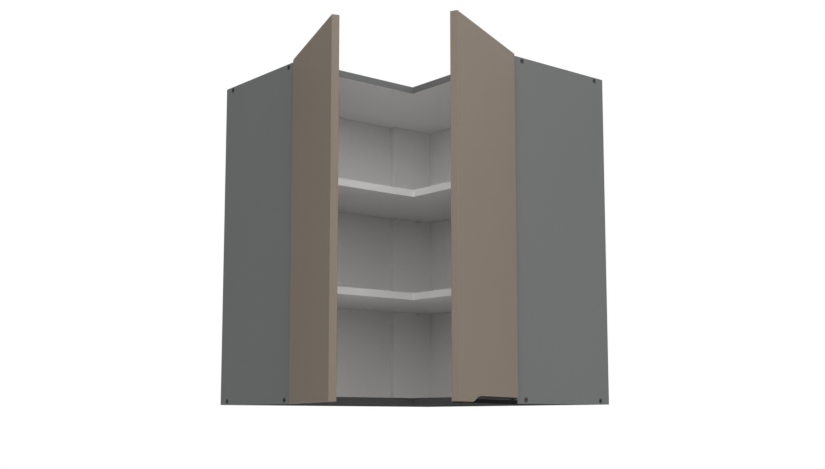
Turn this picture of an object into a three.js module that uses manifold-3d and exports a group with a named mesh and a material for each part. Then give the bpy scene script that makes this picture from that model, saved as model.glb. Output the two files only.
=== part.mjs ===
// Corner wall cabinet for a kitchen: an L-shaped carcass with two hinged doors and two shelves.
//
// Millimetres, +Z up. The origin is the room corner at the height of the cabinet's underside.
// One wing runs along the wall X = 0 (towards -Y), the other along the wall Y = 0 (towards +X).
// Both doors stand open at rest, as photographed. "e" below is a distance along a door front,
// from the outer face of its end panel, and "y" is a distance out of the carcass front plane.

import * as THREE from 'three';
import { mergeVertices } from 'three/addons/utils/BufferGeometryUtils.js';
import Module from 'manifold-3d';

const wasm = await Module();
wasm.setup();

// ---------------------------------------------------------------- driving dimensions

// Carcass
const WALL_LENGTH = 600; // along each wall, from the corner to the end panel's outer face
const HEIGHT = 716;
const DEPTH = 287; // from the wall to the front edges
const BOARD = 15; // end, top and bottom panels
const SEAT = 0.2; // gap left at a glued or screwed joint
const OVERRUN = 1; // of a cut past the face it opens, and of a joined piece into its neighbour
const BACK_RECESS = 8; // from the wall to the back sheet, room for the hanging rail
const BACK_SHEET = 3;
const GROOVE_DEPTH = 5; // how far the back sheets reach into the boards
const GROOVE_PLAY = 0.3; // each side of a back sheet, and under its edges
const POST_WIDTH = 118; // the upright corner board behind the shelves
const POST_BOARD = 15;

// Shelves
const SHELF_NAMES = ['lower', 'upper'];
const SHELF_BOARD = 16;
const SHELF_SETBACK = 14; // behind the carcass front
const SHELF_PLAY = 1.2; // to the end panels, backs and corner post
const PIN_RADIUS = 2.5;
const PIN_BORE_RADIUS = 2.8;
const PIN_BORE_DEPTH = 8.5;
const PIN_INSERT = 8; // length held in the board
const PIN_REACH = 8; // length that carries the shelf
const PIN_COLLAR = 1.2;
const PIN_COLLAR_RADIUS = 4;
const PIN_FRONT_SETBACK = 37; // behind the shelf front
const PIN_REAR_SETBACK = 45; // in front of the back sheet
const PIN_CORNER_OFFSET = 55; // from the corner, along the post

// Connecting screws through the end panels
const SCREW_HEAD_RADIUS = 5;
const SCREW_HEAD_HEIGHT = 2.6;
const SCREW_RADIUS = 3.2;
const SCREW_LENGTH = 48;
const SCREW_PLAY = 0.3;
const SCREW_SOCKET_RADIUS = 2.3; // hexagon socket, centre to corner
const SCREW_SOCKET_DEPTH = 1.8;
const SCREW_WALL_OFFSET = 27; // rear pair, from the wall
const SCREW_FRONT_SETBACK = 35; // front pair, behind the front edge

// Doors
const DOOR_BOARD = 15;
const DOOR_TOP_GAP = 1; // below the top of the carcass
const DOOR_REVEAL = 1; // closed, inside the end panel's outer face
const DOOR_GAP = 1.5; // closed, in front of the carcass
const LEFT_TIP_CLEARANCE = 0.5; // left door's free edge, past the right door's face
const RIGHT_TIP_GAP = 7; // right door's free edge, in front of the left door's face
const RIGHT_DOOR_OPEN = 114; // degrees from closed, at rest
const LEFT_DOOR_OPEN = 110;
const BUMPER_RADIUS = 4;
const BUMPER_TOP_RADIUS = 2.4;
const BUMPER_HEIGHT = 1.2;
const BUMPER_EDGE_HEIGHT = 0.4; // of its straight side
const BUMPER_GLUE = 0.1;
const BUMPER_EDGE_OFFSET = 18; // from the door's free edge

// Grip profile let into the right door's lower edge
const GRIP_CUT_HEIGHT = 11;
const GRIP_CUT_END = 193; // full height from the hinge edge to here
const GRIP_WAVE = 35; // length of the S-curve back down to the lower edge
const GRIP_WAVE_STEPS = 10;
const GRIP_WALL = 1.5;
const GRIP_PLAY = 0.3;
const GRIP_DROP = 2; // how far the profile shows below the door
const GRIP_LIP_HEIGHT = 5.6; // front lip above the door's lower edge
const GRIP_LIP_CHAMFER = 14;
const GRIP_END_GAP = 5; // from the door's free edge
const GRIP_BACK_OFFSET = 0.6; // from the door's back face to the profile's web

// Wide-angle cup hinges: an arm, a rear link and a front link between the panel and the cup
const HINGE_END_OFFSET = 100; // from the door's upper and lower ends
const ARM_PIVOT_INSET = 9.2; // from the end panel's inner face
const ARM_PIVOT_SETBACK = 3.5; // behind the carcass front
const REAR_LINK_LENGTH = 19;
const FRONT_LINK_LENGTH = 25.6;
const CUP_PIVOT_EDGE = 19; // from the door's hinge edge
const CUP_PIVOT_DEPTH = 4; // below the door's back face
const REAR_TURN_PER_DOOR_TURN = 1.09;
const FRONT_TURN_PER_DOOR_TURN = 0.09;
const LINK_HALF_WIDTH = 3; // narrow enough to pass the cup's rim when the door is closed
const HINGE_PIN_RADIUS = 1.5;
const HINGE_PIN_BORE_RADIUS = 1.75;
const PIN_END_SETBACK = 0.5; // the pins end inside the plates that hold them
const REAR_LINK_HALF_HEIGHT = 2.6;
const LINK_PLAY = 0.5; // between stacked links
const CHEEK = 2; // plate thickness of the front link's cheeks
const ARM_WALL = 1.6;
const ARM_LENGTH = 58;
const ARM_DEPTH = 9.8; // of the channel, away from the panel
const ARM_WEB_SETBACK = 8.5; // the web ends this far behind the arm's pivot
const ARM_NOSE_RADIUS = 4;
const PLATE_WING = 2.4;
const PLATE_WING_WIDTH = 16;
const PLATE_WING_HALF_SPAN = 24;
const PLATE_BORE_SPACING = 32;
const PLATE_BORE_RADIUS = 2.4;
const PLATE_BORE_SETBACK = 37; // behind the carcass front
const PLATE_RAIL_LENGTH = 44;
const CUP_RADIUS = 17.25;
const CUP_BORE_RADIUS = 17.6;
const CUP_DEPTH = 11.5;
const CUP_BORE_DEPTH = 11.8;
const CUP_WALL = 1.2;
const CUP_CENTRE_EDGE = 22; // from the door's hinge edge
const CUP_FLANGE = 1;
const CUP_RIM_RADIUS = 18.7;
const CUP_WING_HALF_SPAN = 31;
const CUP_WING_HALF_WIDTH = 8;

// Hangers in the upper rear corners
const HANGER_WIDTH = 17;
const HANGER_LENGTH = 42;
const HANGER_HEIGHT = 60;
const HANGER_WALL = 2.5;
const HANGER_PLAY = 0.5;
const HOOK_PLATE = 3;
const HOOK_SHANK_HEIGHT = 24;
const HOOK_SHANK_LENGTH = 30; // inside the housing
const HOOK_TIP_HEIGHT = 40;
const HOOK_TIP_LENGTH = 3;
const HOOK_WALL_GAP = 1; // hook's rear face to the wall
const HANGER_SCREW_RADIUS = 4;
const HANGER_SCREW_HEIGHT = 1.5;
const HANGER_SCREW_SPACING = 20;
const HANGER_LAP = 2; // how far the housing laps over its notch in the back sheet

// Facets
const ROUND_SIDES = 12; // pins and bores
const HEAD_SIDES = 24; // screw heads
const CUP_SIDES = 32;
const NOSE_STEPS = 6;

// ---------------------------------------------------------------- sizes that follow

const DOOR_PLANE = DEPTH + DOOR_GAP + DOOR_BOARD; // wall to a closed door's outer face
const LEFT_DOOR_WIDTH = WALL_LENGTH - DOOR_REVEAL - DOOR_PLANE - LEFT_TIP_CLEARANCE;
const RIGHT_DOOR_WIDTH = WALL_LENGTH - DOOR_REVEAL - DOOR_PLANE - RIGHT_TIP_GAP;
const DOOR_HEIGHT = HEIGHT - DOOR_TOP_GAP;
const BACK_FRONT_FACE = BACK_RECESS + BACK_SHEET;
const POST_FACE = BACK_FRONT_FACE + SEAT + POST_BOARD;
const POST_END = BACK_FRONT_FACE + SEAT + POST_WIDTH;
const SHELF_FRONT = DEPTH - SHELF_SETBACK;
const SHELF_SPACE = (HEIGHT - 2 * BOARD - SHELF_NAMES.length * SHELF_BOARD) / (SHELF_NAMES.length + 1);
const CHEEK_INNER = REAR_LINK_HALF_HEIGHT + LINK_PLAY;
const CHEEK_OUTER = CHEEK_INNER + CHEEK;
const EAR_INNER = CHEEK_OUTER + LINK_PLAY;
const EAR_OUTER = EAR_INNER + ARM_WALL;
const HINGE_HEIGHTS = { upper: DOOR_HEIGHT - HINGE_END_OFFSET, lower: HINGE_END_OFFSET };
const SCREW_HEIGHTS = { top: HEIGHT - BOARD / 2, bottom: BOARD / 2 };

// ---------------------------------------------------------------- materials

function finish(color, roughness, metalness = 0) {
  return new THREE.MeshStandardMaterial({ color, roughness, metalness });
}

const GREY_BOARD = finish(0x6f7271, 0.55);
const DARK_BOARD = finish(0x3b3c3d, 0.55);
const WHITE_BOARD = finish(0xd9d8d6, 0.5);
const WHITE_SHEET = finish(0xcfcecb, 0.55);
const BEIGE_BOARD = finish(0x857a6d, 0.5);
const BLACK_METAL = finish(0x1b1b1c, 0.45, 0.6);
const STEEL = finish(0xb9bcc0, 0.3, 1);
const DARK_STEEL = finish(0x4a4c4e, 0.45, 0.9);
const WHITE_PLASTIC = finish(0xe4e3e0, 0.45);
const CLEAR_PLASTIC = finish(0xd8dcdd, 0.3);

// ---------------------------------------------------------------- solids

function signedVolume(positions, indices) {
  let sum = 0;
  const [a, b, c] = [new THREE.Vector3(), new THREE.Vector3(), new THREE.Vector3()];
  for (let i = 0; i < indices.length; i += 3) {
    a.fromArray(positions, 3 * indices[i]);
    b.fromArray(positions, 3 * indices[i + 1]);
    c.fromArray(positions, 3 * indices[i + 2]);
    sum += a.dot(b.cross(c)) / 6;
  }
  return sum;
}

// A closed mesh becomes a solid whose faces point out.
function solid(geometry) {
  const bare = geometry.clone();
  bare.deleteAttribute('normal');
  bare.deleteAttribute('uv');
  const merged = mergeVertices(bare, 1e-4);
  const vertProperties = new Float32Array(merged.attributes.position.array);
  const triVerts = new Uint32Array(merged.index.array);
  if (signedVolume(vertProperties, triVerts) < 0) {
    for (let i = 0; i < triVerts.length; i += 3) {
      [triVerts[i + 1], triVerts[i + 2]] = [triVerts[i + 2], triVerts[i + 1]];
    }
  }
  return new wasm.Manifold(new wasm.Mesh({ numProp: 3, vertProperties, triVerts }));
}

function join(first, ...others) {
  return others.reduce((sum, other) => sum.add(other), first);
}

function cut(first, ...others) {
  return others.reduce((rest, other) => rest.subtract(other), first);
}

function geometryOf(body) {
  const mesh = body.getMesh();
  const geometry = new THREE.BufferGeometry();
  geometry.setAttribute('position', new THREE.BufferAttribute(mesh.vertProperties, 3));
  geometry.setIndex(new THREE.BufferAttribute(mesh.triVerts, 1));
  geometry.computeVertexNormals();
  return geometry;
}

function block([x0, x1], [y0, y1], [z0, z1]) {
  const geometry = new THREE.BoxGeometry(Math.abs(x1 - x0), Math.abs(y1 - y0), Math.abs(z1 - z0));
  return solid(geometry.translate((x0 + x1) / 2, (y0 + y1) / 2, (z0 + z1) / 2));
}

// A plan outline, raised from z0 to z1.
function prism(outline, z0, z1) {
  const shape = new THREE.Shape(outline.map(([x, y]) => new THREE.Vector2(x, y)));
  const geometry = new THREE.ExtrudeGeometry(shape, { depth: z1 - z0, bevelEnabled: false });
  return solid(geometry.translate(0, 0, z0));
}

// A turned piece: [radius, height] pairs from axis to axis, standing along +Z.
function turned(profile, sides = ROUND_SIDES) {
  const points = profile.map(([radius, height]) => new THREE.Vector2(radius, height));
  return new THREE.LatheGeometry(points, sides).rotateX(Math.PI / 2);
}

function rod(radius, z0, z1, [x, y] = [0, 0], sides = ROUND_SIDES) {
  const geometry = new THREE.CylinderGeometry(radius, radius, z1 - z0, sides);
  return solid(geometry.rotateX(Math.PI / 2).translate(x, y, (z0 + z1) / 2));
}

function arc([cx, cy], radius, from, to, steps) {
  const points = [];
  for (let i = 0; i <= steps; i += 1) {
    const angle = THREE.MathUtils.degToRad(from + ((to - from) * i) / steps);
    points.push([cx + radius * Math.cos(angle), cy + radius * Math.sin(angle)]);
  }
  return points;
}

// A flat link along +X between two pivots, with round ends.
function linkOutline(length, halfWidth) {
  return [
    ...arc([0, 0], halfWidth, 90, 270, NOSE_STEPS),
    ...arc([length, 0], halfWidth, -90, 90, NOSE_STEPS),
  ];
}

// ---------------------------------------------------------------- placing

const cabinet = new THREE.Group();

function add(parent, name, body, material, position = [0, 0, 0]) {
  const mesh = new THREE.Mesh(geometryOf(body), material);
  mesh.name = name;
  mesh.position.set(...position);
  parent.add(mesh);
  return mesh;
}

function frameAt(parent, [x, y, z], degrees) {
  const frame = new THREE.Group();
  frame.position.set(x, y, z);
  frame.rotation.z = THREE.MathUtils.degToRad(degrees);
  parent.add(frame);
  return frame;
}

// Each end of the L has a frame at its end panel's front outer edge, with x = hand * e and
// y out of the front plane. The left end is the mirror image of the right one.
const ENDS = [
  {
    side: 'right',
    hand: 1,
    frame: frameAt(cabinet, [WALL_LENGTH, -DEPTH, 0], 180),
    doorWidth: RIGHT_DOOR_WIDTH,
    doorOpen: RIGHT_DOOR_OPEN,
    hasGrip: true,
  },
  {
    side: 'left',
    hand: -1,
    frame: frameAt(cabinet, [DEPTH, -WALL_LENGTH, 0], -90),
    doorWidth: LEFT_DOOR_WIDTH,
    doorOpen: LEFT_DOOR_OPEN,
    hasGrip: false,
  },
];

// An e range as an x range of the end's frame.
function along(end, e0, e1) {
  return [end.hand * e0, end.hand * e1];
}

// A solid made along +Z, laid down to point along e from e0, at the given y and z.
function laidAlong(end, geometry, e0, y, z) {
  const turnedDown = geometry.clone().rotateY((end.hand * Math.PI) / 2);
  return solid(turnedDown.translate(end.hand * e0, y, z));
}

// ---------------------------------------------------------------- carcass boards

// The plan of a board that fills the L, from the walls to the front.
function cornerOutline(rear, front, length) {
  return [
    [rear, -rear],
    [rear, -length],
    [front, -length],
    [front, -front],
    [length, -front],
    [length, -rear],
  ];
}

// The slot for both back sheets in the face of a top or bottom panel.
function backGroove(z0, z1) {
  const near = BACK_RECESS - GROOVE_PLAY;
  const far = BACK_FRONT_FACE + GROOVE_PLAY;
  const alongLeft = block([near, far], [-WALL_LENGTH, -near], [z0, z1]);
  const alongRight = block([near, WALL_LENGTH], [-far, -near], [z0, z1]);
  return join(alongLeft, alongRight);
}

// One bore for each connecting screw, made in the frame of its end.
function screwBores(radius, z) {
  const inner = WALL_LENGTH - SCREW_LENGTH - OVERRUN;
  const bores = [];
  for (const wallOffset of [SCREW_WALL_OFFSET, DEPTH - SCREW_FRONT_SETBACK]) {
    const bore = new THREE.CylinderGeometry(radius, radius, WALL_LENGTH - inner, HEAD_SIDES);
    const middle = (WALL_LENGTH + inner) / 2;
    bores.push(solid(bore.clone().translate(wallOffset, -middle, z)));
    bores.push(solid(bore.clone().rotateZ(Math.PI / 2).translate(middle, -wallOffset, z)));
  }
  return bores;
}

function addTopAndBottom() {
  const outline = cornerOutline(0, DEPTH, WALL_LENGTH - BOARD - SEAT);
  const bore = SCREW_RADIUS + SCREW_PLAY;
  const top = cut(
    prism(outline, HEIGHT - BOARD, HEIGHT),
    backGroove(HEIGHT - BOARD - OVERRUN, HEIGHT - BOARD + GROOVE_DEPTH),
    ...screwBores(bore, SCREW_HEIGHTS.top),
  );
  const bottom = cut(
    prism(outline, 0, BOARD),
    backGroove(BOARD - GROOVE_DEPTH, BOARD + OVERRUN),
    ...screwBores(bore, SCREW_HEIGHTS.bottom),
  );
  add(cabinet, 'top_panel', top, GREY_BOARD);
  add(cabinet, 'bottom_panel', bottom, DARK_BOARD);
}

function addCornerPost() {
  const post = block(
    [POST_FACE - POST_BOARD, POST_FACE],
    [-POST_END, -(BACK_FRONT_FACE + SEAT)],
    [BOARD + SEAT, HEIGHT - BOARD - SEAT],
  );
  const middle = POST_FACE - (PIN_BORE_DEPTH - OVERRUN) / 2;
  const bores = shelfLevels().map(({ pinAxis }) => {
    const bore = new THREE.CylinderGeometry(
      PIN_BORE_RADIUS, PIN_BORE_RADIUS, PIN_BORE_DEPTH + OVERRUN, ROUND_SIDES);
    return solid(bore.rotateZ(Math.PI / 2).translate(middle, -PIN_CORNER_OFFSET, pinAxis));
  });
  add(cabinet, 'corner_post', cut(post, ...bores), WHITE_BOARD);
}

function addBackSheets() {
  const reach = WALL_LENGTH - BOARD + GROOVE_DEPTH - GROOVE_PLAY;
  const z0 = BOARD - GROOVE_DEPTH + GROOVE_PLAY;
  const z1 = HEIGHT - BOARD + GROOVE_DEPTH - GROOVE_PLAY;
  const notchStart = WALL_LENGTH - BOARD - SEAT - HANGER_WIDTH + HANGER_LAP;
  const notchFoot = HEIGHT - BOARD - HANGER_HEIGHT + HANGER_LAP;
  const notchRange = [notchFoot, HEIGHT];
  const left = cut(
    block([BACK_RECESS, BACK_FRONT_FACE], [-reach, -BACK_RECESS], [z0, z1]),
    block([0, BACK_FRONT_FACE + OVERRUN], [-WALL_LENGTH, -notchStart], notchRange),
  );
  const right = cut(
    block([BACK_FRONT_FACE + SEAT, reach], [-BACK_FRONT_FACE, -BACK_RECESS], [z0, z1]),
    block([notchStart, WALL_LENGTH], [-BACK_FRONT_FACE - OVERRUN, 0], notchRange),
  );
  add(cabinet, 'left_back_sheet', left, WHITE_SHEET);
  add(cabinet, 'right_back_sheet', right, WHITE_SHEET);
}

// ---------------------------------------------------------------- shelves

// Each shelf's underside, and the axis of the pins that it lies on.
function shelfLevels() {
  return SHELF_NAMES.map((name, i) => {
    const underside = BOARD + SHELF_SPACE + i * (SHELF_SPACE + SHELF_BOARD);
    return { name, underside, pinAxis: underside - SEAT - PIN_RADIUS };
  });
}

function shelfOutline() {
  const rear = BACK_FRONT_FACE + SHELF_PLAY;
  const postFace = POST_FACE + SHELF_PLAY;
  const postEnd = POST_END + SHELF_PLAY;
  const length = WALL_LENGTH - BOARD - SHELF_PLAY;
  return [
    [postFace, -rear],
    [postFace, -postEnd],
    [rear, -postEnd],
    [rear, -length],
    [SHELF_FRONT, -length],
    [SHELF_FRONT, -SHELF_FRONT],
    [length, -SHELF_FRONT],
    [length, -rear],
  ];
}

function pinGeometry() {
  return turned([
    [0, -PIN_INSERT],
    [PIN_RADIUS, -PIN_INSERT],
    [PIN_RADIUS, SEAT],
    [PIN_COLLAR_RADIUS, SEAT],
    [PIN_COLLAR_RADIUS, SEAT + PIN_COLLAR],
    [PIN_RADIUS, SEAT + PIN_COLLAR],
    [PIN_RADIUS, PIN_REACH + SHELF_PLAY],
    [0, PIN_REACH + SHELF_PLAY],
  ]);
}

// Where the pins stand, behind the front plane of an end panel.
function pinSetbacks() {
  return {
    front: SHELF_SETBACK + PIN_FRONT_SETBACK,
    rear: DEPTH - BACK_FRONT_FACE - PIN_REAR_SETBACK,
  };
}

function addShelves() {
  for (const { name, underside, pinAxis } of shelfLevels()) {
    const board = prism(shelfOutline(), underside, underside + SHELF_BOARD);
    add(cabinet, `${name}_shelf`, cut(board, ...collarNotches(underside)), WHITE_BOARD);
    const cornerPin = solid(pinGeometry().rotateY(Math.PI / 2));
    add(cabinet, `${name}_shelf_corner_pin`, cornerPin, WHITE_PLASTIC,
      [POST_FACE, -PIN_CORNER_OFFSET, pinAxis]);
  }
}

// Small reliefs in a shelf's lower edge, because each pin's collar rises above its underside.
function collarNotches(underside) {
  const depth = PIN_COLLAR_RADIUS - PIN_RADIUS + SEAT;
  const reach = SEAT + PIN_COLLAR + SEAT;
  const half = PIN_COLLAR_RADIUS + SEAT;
  const heights = [underside - OVERRUN, underside + depth];
  const inner = WALL_LENGTH - BOARD;
  const notches = [
    block([POST_FACE, POST_FACE + reach],
      [-PIN_CORNER_OFFSET - half, -PIN_CORNER_OFFSET + half], heights),
  ];
  for (const setback of Object.values(pinSetbacks())) {
    const middle = DEPTH - setback;
    notches.push(block([inner - reach, inner], [-middle - half, -middle + half], heights));
    notches.push(block([middle - half, middle + half], [-inner, -inner + reach], heights));
  }
  return notches;
}

// ---------------------------------------------------------------- end panels and their fittings

function screwGeometry() {
  return turned([
    [0, 0],
    [SCREW_HEAD_RADIUS, 0],
    [SCREW_HEAD_RADIUS, SCREW_HEAD_HEIGHT / 2],
    [SCREW_RADIUS, SCREW_HEAD_HEIGHT],
    [SCREW_RADIUS, SCREW_LENGTH - SCREW_RADIUS],
    [0, SCREW_LENGTH],
  ], HEAD_SIDES);
}

function screwPlaces() {
  const places = [];
  for (const [row, z] of Object.entries(SCREW_HEIGHTS)) {
    places.push({ name: `${row}_rear`, y: SCREW_WALL_OFFSET - DEPTH, z });
    places.push({ name: `${row}_front`, y: -SCREW_FRONT_SETBACK, z });
  }
  return places;
}

function screwSeat(end, { y, z }) {
  const shank = new THREE.CylinderGeometry(
    SCREW_RADIUS + SCREW_PLAY, SCREW_RADIUS + SCREW_PLAY, BOARD + 2 * OVERRUN, HEAD_SIDES);
  const head = SCREW_HEAD_RADIUS + SCREW_PLAY;
  const sink = SCREW_HEAD_HEIGHT + SCREW_PLAY;
  const pocket = new THREE.CylinderGeometry(head, head, sink + OVERRUN, HEAD_SIDES);
  return join(
    laidAlong(end, shank.rotateX(Math.PI / 2).translate(0, 0, BOARD / 2), 0, y, z),
    laidAlong(end, pocket.rotateX(Math.PI / 2).translate(0, 0, (sink - OVERRUN) / 2), 0, y, z),
  );
}

function addEndPanel(end) {
  const grooveNear = DEPTH - BACK_RECESS + GROOVE_PLAY;
  const grooveFar = DEPTH - BACK_FRONT_FACE - GROOVE_PLAY;
  const groove = block(
    along(end, BOARD - GROOVE_DEPTH, BOARD + OVERRUN),
    [-grooveNear, -grooveFar],
    [-OVERRUN, HEIGHT + OVERRUN]);
  const pinBore = new THREE.CylinderGeometry(
    PIN_BORE_RADIUS, PIN_BORE_RADIUS, PIN_BORE_DEPTH + OVERRUN, ROUND_SIDES);
  pinBore.rotateX(Math.PI / 2).translate(0, 0, (PIN_BORE_DEPTH + OVERRUN) / 2);
  const pinBores = [];
  for (const { pinAxis } of shelfLevels()) {
    for (const setback of Object.values(pinSetbacks())) {
      pinBores.push(laidAlong(end, pinBore, BOARD - PIN_BORE_DEPTH, -setback, pinAxis));
    }
  }
  const plain = block(along(end, 0, BOARD), [-DEPTH, 0], [0, HEIGHT]);
  const seats = screwPlaces().map((place) => screwSeat(end, place));
  const panel = cut(plain, groove, ...pinBores, ...seats);
  add(end.frame, `${end.side}_end_panel`, panel, GREY_BOARD);
}

function addScrews(end) {
  const socket = new THREE.CylinderGeometry(
    SCREW_SOCKET_RADIUS, SCREW_SOCKET_RADIUS, SCREW_SOCKET_DEPTH + OVERRUN, 6);
  socket.rotateX(Math.PI / 2).translate(0, 0, (SCREW_SOCKET_DEPTH - OVERRUN) / 2);
  for (const { name, y, z } of screwPlaces()) {
    const screw = cut(
      laidAlong(end, screwGeometry(), SEAT, y, z),
      laidAlong(end, socket, SEAT, y, z),
    );
    add(end.frame, `${end.side}_${name}_screw`, screw, DARK_STEEL);
  }
}

function addShelfPins(end) {
  for (const { name, pinAxis } of shelfLevels()) {
    for (const [place, setback] of Object.entries(pinSetbacks())) {
      const pin = laidAlong(end, pinGeometry(), BOARD, -setback, pinAxis);
      add(end.frame, `${end.side}_${name}_shelf_${place}_pin`, pin, WHITE_PLASTIC);
    }
  }
}

// ---------------------------------------------------------------- hangers

function addHanger(end) {
  const e0 = BOARD + SEAT;
  const e1 = e0 + HANGER_WIDTH;
  const rear = -(DEPTH - BACK_FRONT_FACE - SEAT);
  const front = rear + HANGER_LENGTH;
  const top = HEIGHT - BOARD - SEAT;
  const foot = top - HANGER_HEIGHT;
  const hookMiddle = (e0 + e1) / 2;
  const slotHalf = HOOK_PLATE / 2 + HANGER_PLAY;
  const shankTop = top - HANGER_WALL - 2 * HANGER_PLAY;
  const shankFoot = shankTop - HOOK_SHANK_HEIGHT;
  const shankFront = rear + HOOK_SHANK_LENGTH;
  const housing = cut(
    block(along(end, e0, e1), [rear, front], [foot, top]),
    block(along(end, hookMiddle - slotHalf, hookMiddle + slotHalf),
      [rear - OVERRUN, shankFront + HANGER_PLAY],
      [shankFoot - HANGER_PLAY, shankTop + HANGER_PLAY]),
  );
  const screwHeads = [-1, 1].map((row) => {
    const head = new THREE.CylinderGeometry(
      HANGER_SCREW_RADIUS, HANGER_SCREW_RADIUS, HANGER_SCREW_HEIGHT + OVERRUN, ROUND_SIDES);
    const y = front + (HANGER_SCREW_HEIGHT - OVERRUN) / 2;
    const z = (foot + top + row * HANGER_SCREW_SPACING) / 2;
    return solid(head.translate(end.hand * hookMiddle, y, z));
  });
  add(end.frame, `${end.side}_hanger_housing`, join(housing, ...screwHeads), WHITE_PLASTIC);

  const hookSides = along(end, hookMiddle - HOOK_PLATE / 2, hookMiddle + HOOK_PLATE / 2);
  const hookRear = -DEPTH + HOOK_WALL_GAP;
  const hook = join(
    block(hookSides, [hookRear, shankFront], [shankFoot, shankTop]),
    block(hookSides, [hookRear, hookRear + HOOK_TIP_LENGTH], [shankTop - HOOK_TIP_HEIGHT, shankTop]),
  );
  add(end.frame, `${end.side}_hanger_hook`, hook, STEEL);
}

// ---------------------------------------------------------------- hinge movement

function turnAbout([x, y], [cx, cy], degrees) {
  const angle = THREE.MathUtils.degToRad(degrees);
  const [dx, dy] = [x - cx, y - cy];
  return [
    cx + dx * Math.cos(angle) - dy * Math.sin(angle),
    cy + dx * Math.sin(angle) + dy * Math.cos(angle),
  ];
}

function direction([x0, y0], [x1, y1]) {
  return THREE.MathUtils.radToDeg(Math.atan2(y1 - y0, x1 - x0));
}

// Where the two links meet when the door is closed: folded away from the end panel.
function closedElbow(armPivot, cupPivot) {
  const span = Math.hypot(cupPivot[0] - armPivot[0], cupPivot[1] - armPivot[1]);
  const reach = (span ** 2 + REAR_LINK_LENGTH ** 2 - FRONT_LINK_LENGTH ** 2) / (2 * span);
  const angle = THREE.MathUtils.radToDeg(Math.acos(reach / REAR_LINK_LENGTH));
  const towardsCup = direction(armPivot, cupPivot);
  const start = [armPivot[0] + REAR_LINK_LENGTH, armPivot[1]];
  return turnAbout(start, armPivot, towardsCup - angle);
}

// Both links and the door, in (e, y), for a door turned open by so many degrees.
function hingePose(doorTurn) {
  const armPivot = [BOARD + ARM_PIVOT_INSET, -ARM_PIVOT_SETBACK];
  const closedCup = [DOOR_REVEAL + CUP_PIVOT_EDGE, DOOR_GAP + CUP_PIVOT_DEPTH];
  const elbowAtRest = closedElbow(armPivot, closedCup);
  const rearTurn = doorTurn * REAR_TURN_PER_DOOR_TURN;
  const frontTurn = doorTurn * FRONT_TURN_PER_DOOR_TURN;
  const elbow = turnAbout(elbowAtRest, armPivot, rearTurn);
  const cupStep = turnAbout(
    [closedCup[0] - elbowAtRest[0], closedCup[1] - elbowAtRest[1]], [0, 0], frontTurn);
  const cupPivot = [elbow[0] + cupStep[0], elbow[1] + cupStep[1]];
  const cornerStep = turnAbout([-CUP_PIVOT_EDGE, -CUP_PIVOT_DEPTH], [0, 0], doorTurn);
  return {
    armPivot,
    elbow,
    cupPivot,
    doorCorner: [cupPivot[0] + cornerStep[0], cupPivot[1] + cornerStep[1]],
    rearAngle: direction(armPivot, elbow),
    frontAngle: direction(elbow, cupPivot),
  };
}

// A link's frame at an (e, y) point of an end, with its +X towards the link's other pivot.
function linkFrame(end, [e, y], z, degrees) {
  const turn = end.hand > 0 ? degrees : 180 - degrees;
  return frameAt(end.frame, [end.hand * e, y, z], turn);
}

// ---------------------------------------------------------------- hinges

function armBody(end, { armPivot }) {
  const [pivotE, pivotY] = armPivot;
  const outerE = pivotE + ARM_NOSE_RADIUS;
  const innerE = outerE - ARM_DEPTH;
  const rearY = pivotY - ARM_LENGTH;
  const pinHalf = EAR_OUTER - PIN_END_SETBACK;
  const wall = [
    [innerE, rearY],
    [outerE, rearY],
    ...arc(armPivot, ARM_NOSE_RADIUS, 0, 180, NOSE_STEPS),
    [innerE, pivotY - ARM_NOSE_RADIUS],
  ].map(([e, y]) => [end.hand * e, y]);
  return join(
    prism(wall, EAR_INNER, EAR_OUTER),
    prism(wall, -EAR_OUTER, -EAR_INNER),
    block(along(end, outerE - ARM_WALL, outerE), [rearY, pivotY - ARM_WEB_SETBACK],
      [-EAR_OUTER, EAR_OUTER]),
    rod(HINGE_PIN_RADIUS, -pinHalf, pinHalf, [end.hand * pivotE, pivotY]),
  );
}

function mountingPlateBody(end, { armPivot }) {
  const webFace = armPivot[0] + ARM_NOSE_RADIUS - ARM_WALL;
  const railHalf = EAR_INNER - LINK_PLAY;
  const railEnd = armPivot[1] - ARM_LENGTH;
  const wingMiddle = -PLATE_BORE_SETBACK;
  const bore = new THREE.CylinderGeometry(
    PLATE_BORE_RADIUS, PLATE_BORE_RADIUS, 2 * (PLATE_WING + OVERRUN), ROUND_SIDES);
  bore.rotateX(Math.PI / 2);
  const halfSpacing = PLATE_BORE_SPACING / 2;
  return cut(
    join(
      block(along(end, BOARD + SEAT, webFace - SEAT), [railEnd, railEnd + PLATE_RAIL_LENGTH],
        [-railHalf, railHalf]),
      block(along(end, BOARD + SEAT, BOARD + SEAT + PLATE_WING),
        [wingMiddle - PLATE_WING_WIDTH / 2, wingMiddle + PLATE_WING_WIDTH / 2],
        [-PLATE_WING_HALF_SPAN, PLATE_WING_HALF_SPAN]),
    ),
    laidAlong(end, bore, BOARD, wingMiddle, halfSpacing),
    laidAlong(end, bore, BOARD, wingMiddle, -halfSpacing),
  );
}

function rearLinkBody() {
  const bore = [-REAR_LINK_HALF_HEIGHT - OVERRUN, REAR_LINK_HALF_HEIGHT + OVERRUN];
  return cut(
    prism(linkOutline(REAR_LINK_LENGTH, LINK_HALF_WIDTH),
      -REAR_LINK_HALF_HEIGHT, REAR_LINK_HALF_HEIGHT),
    rod(HINGE_PIN_BORE_RADIUS, ...bore),
    rod(HINGE_PIN_BORE_RADIUS, ...bore, [REAR_LINK_LENGTH, 0]),
  );
}

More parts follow.
